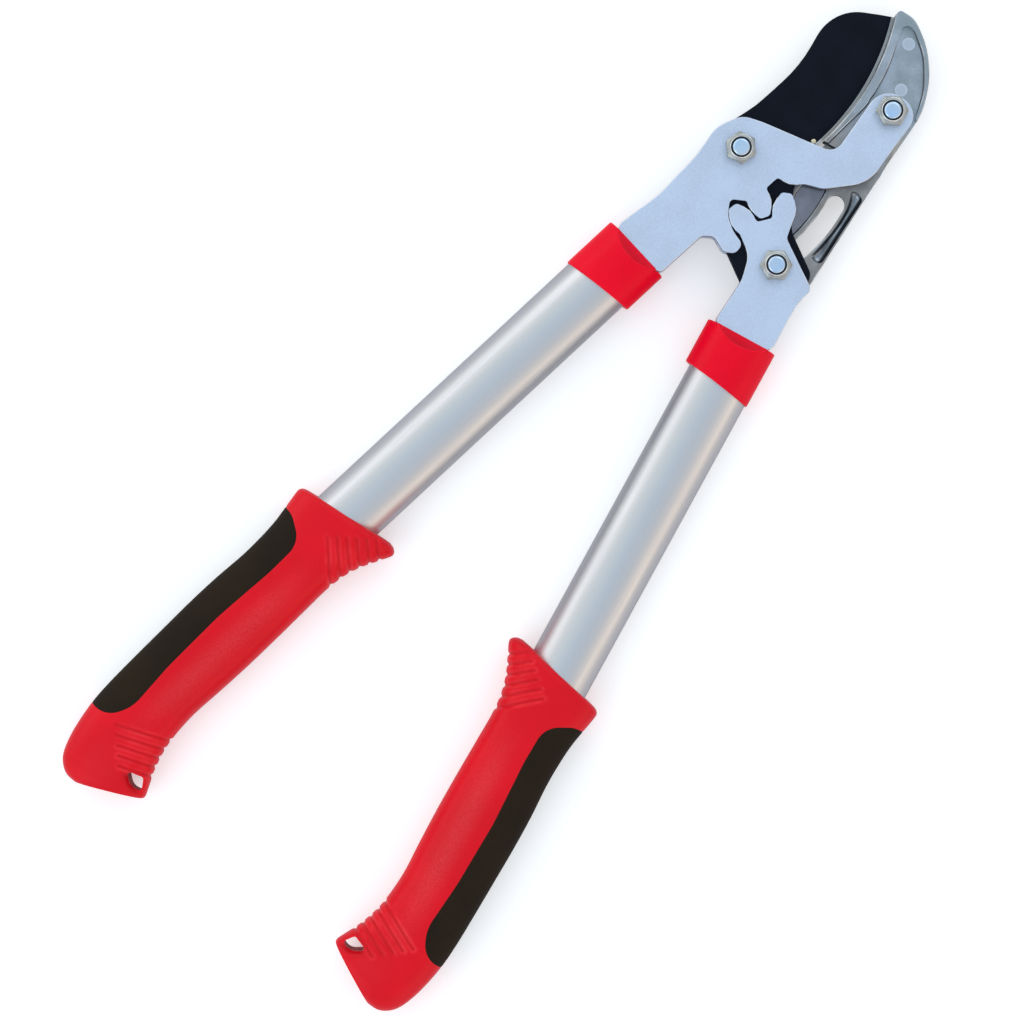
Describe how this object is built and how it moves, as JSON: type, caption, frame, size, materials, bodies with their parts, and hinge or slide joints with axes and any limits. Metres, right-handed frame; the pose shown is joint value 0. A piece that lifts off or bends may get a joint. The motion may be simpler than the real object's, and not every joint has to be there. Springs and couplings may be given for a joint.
{
  "type": "anvil lopper",
  "caption": "Long-handled anvil lopper with a curved blade, a slotted anvil jaw, geared handle plates, oval tubes and two-colour grips.",
  "frame": {"origin": "main pivot's axis, on the flat underside of its bolt head", "axes": "+X to the jaws along the line that halves the angle between the handles, +Y to the blade's side, +Z out of the front (nut) side; the tool lies on its back with the jaws closed"},
  "size_m": [0.5136, 0.2019, 0.0308],
  "materials": {
    "coated_blade": "black non-stick coating, ground edge",
    "cast_anvil": "die-cast, tumbled",
    "zinc_plate": "zinc plated, satin",
    "zinc_fastener": "bright zinc",
    "satin_tube": "satin anodised",
    "red_collar": "smooth",
    "red_grip": "fine satin",
    "soft_insert": "matte overmoulding"
  },
  "bodies": {
    "blade": {"blade": "coated_blade"},
    "upper_handle": {"upper_front_plate": "zinc_plate", "upper_rear_plate": "zinc_plate", "upper_tang_block": "cast_anvil", "upper_rivet": "zinc_fastener", "upper_tube": "satin_tube", "upper_collar": "red_collar", "upper_grip": "red_grip", "upper_grip_insert": "soft_insert", "main_pivot_bolt": "zinc_fastener", "main_pivot_nut": "zinc_fastener", "main_pivot_washer": "zinc_fastener", "anvil_pivot_bolt": "zinc_fastener", "anvil_pivot_nut": "zinc_fastener", "anvil_pivot_washer": "zinc_fastener", "blade_spacer": "zinc_fastener"},
    "lower_handle": {"lower_front_plate": "zinc_plate", "lower_rear_plate": "zinc_plate", "lower_tang_block": "cast_anvil", "lower_rivet": "zinc_fastener", "lower_tube": "satin_tube", "lower_collar": "red_collar", "lower_grip": "red_grip", "lower_grip_insert": "soft_insert", "gear_pivot_bolt": "zinc_fastener", "gear_pivot_nut": "zinc_fastener", "gear_pivot_washer": "zinc_fastener"},
    "anvil": {"anvil_jaw": "cast_anvil"}
  },
  "joints": [
    {"name": "upper_handle_swing", "type": "hinge", "parent": "blade", "child": "upper_handle", "pos_m": [0, 0, 0.0147], "axis": [0, 0, -1], "range_deg": [0, 42]},
    {"name": "lower_handle_swing", "type": "hinge", "parent": "blade", "child": "lower_handle", "pos_m": [-0.0326, -0.04578, 0.0147], "axis": [0, 0, 1], "range_deg": [0, 42]},
    {"name": "anvil_swing", "type": "hinge", "parent": "upper_handle", "child": "anvil", "pos_m": [0.0558, -0.04438, 0.0147], "axis": [0, 0, 1], "range_deg": [0, 5.88]}
  ],
  "couplings": [
    {"joint": "lower_handle_swing", "follows": "upper_handle_swing", "ratio": 1},
    {"joint": "anvil_swing", "follows": "upper_handle_swing", "ratio": 0.14}
  ]
}
